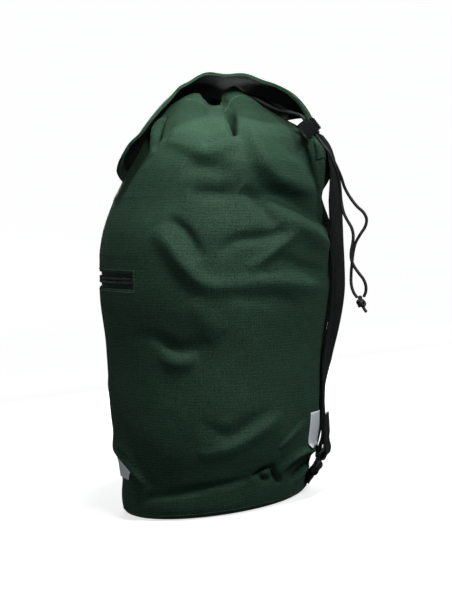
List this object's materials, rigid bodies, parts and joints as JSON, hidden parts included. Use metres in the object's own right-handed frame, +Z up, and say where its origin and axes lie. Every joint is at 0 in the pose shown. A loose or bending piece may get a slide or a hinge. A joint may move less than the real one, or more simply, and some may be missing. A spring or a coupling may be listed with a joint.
{
  "type": "drawstring stuff sack",
  "caption": "Tall round drawstring stuff sack in heavy dark green cloth with a gathered mouth, lid flap, cord lock, front zip pocket and a shoulder strap",
  "frame": {"origin": "centre of the flat base, on the ground", "axes": "+Z up, +Y towards the back where the shoulder strap hangs, +X towards the side with the blank label"},
  "size_m": [0.276, 0.3366, 0.4951],
  "materials": {
    "sack_cloth": "heavy slubby dark green canvas",
    "lining_cloth": "black coated lining",
    "cord": "black braided cord",
    "webbing": "black-green webbing",
    "zip_cloth": "charcoal zip tape and coil",
    "plastic": "moulded acetal, satin",
    "dark_metal": "black plated",
    "label_cloth": "woven white label"
  },
  "bodies": {
    "sack": {"body_panel": "sack_cloth", "base_panel": "sack_cloth", "mouth_hem": "sack_cloth", "strap_anchor_patch": "sack_cloth", "lining": "lining_cloth", "zip_pocket_bag": "lining_cloth", "drawcord_in_hem": "cord", "drawcord_run_left": "cord", "drawcord_run_right": "cord", "cord_knot": "cord", "strap": "webbing", "lower_webbing": "webbing", "zip_tape_upper": "zip_cloth", "zip_tape_lower": "zip_cloth", "zip_coil_upper": "zip_cloth", "zip_coil_lower": "zip_cloth", "eyelet_left": "dark_metal", "eyelet_right": "dark_metal", "body_snap_stud": "dark_metal", "zip_stop_left": "dark_metal", "zip_stop_right": "dark_metal", "side_label": "label_cloth", "front_label": "label_cloth"},
    "flap": {"flap_panel": "sack_cloth", "flap_lining": "lining_cloth", "flap_snap_cap": "dark_metal", "flap_snap_socket": "dark_metal"},
    "cord_lock": {"cord_lock_body": "plastic", "cord_lock_spring": "dark_metal"},
    "lock_button": {"cord_lock_button": "plastic"},
    "slider": {"zip_slider": "dark_metal"},
    "puller": {"zip_puller": "dark_metal"},
    "ladder": {"ladder_lock": "plastic"}
  },
  "joints": [
    {"name": "flap_hinge", "type": "hinge", "parent": "sack", "child": "flap", "pos_m": [0, 0.1725, 0.4205], "axis": [-1, 0, 0], "range_deg": [0, 95]},
    {"name": "cord_lock_slide", "type": "slide", "parent": "sack", "child": "cord_lock", "axis": [0, 0.5, -0.866], "range_m": [0, 0.016]},
    {"name": "button_press", "type": "slide", "parent": "cord_lock", "child": "lock_button", "axis": [0, -0.866, -0.5], "range_m": [0, 0.003], "stiffness_N_per_m": 900, "springref_m": -0.002, "deforming": ["cord_lock_spring"]},
    {"name": "slider_run", "type": "hinge", "parent": "sack", "child": "slider", "pos_m": [0, 0.03541, 0.26465], "axis": [0, 0.1271, 0.9919], "range_deg": [0, 108]},
    {"name": "puller_swing", "type": "hinge", "parent": "slider", "child": "puller", "pos_m": [-0.11383, -0.04662, 0.27515], "axis": [0, -0.1271, -0.9919], "range_deg": [0, 150]},
    {"name": "ladder_tilt", "type": "hinge", "parent": "sack", "child": "ladder", "pos_m": [0, 0.1268, 0.02711], "axis": [-1, 0, 0], "range_deg": [0, 10]}
  ]
}
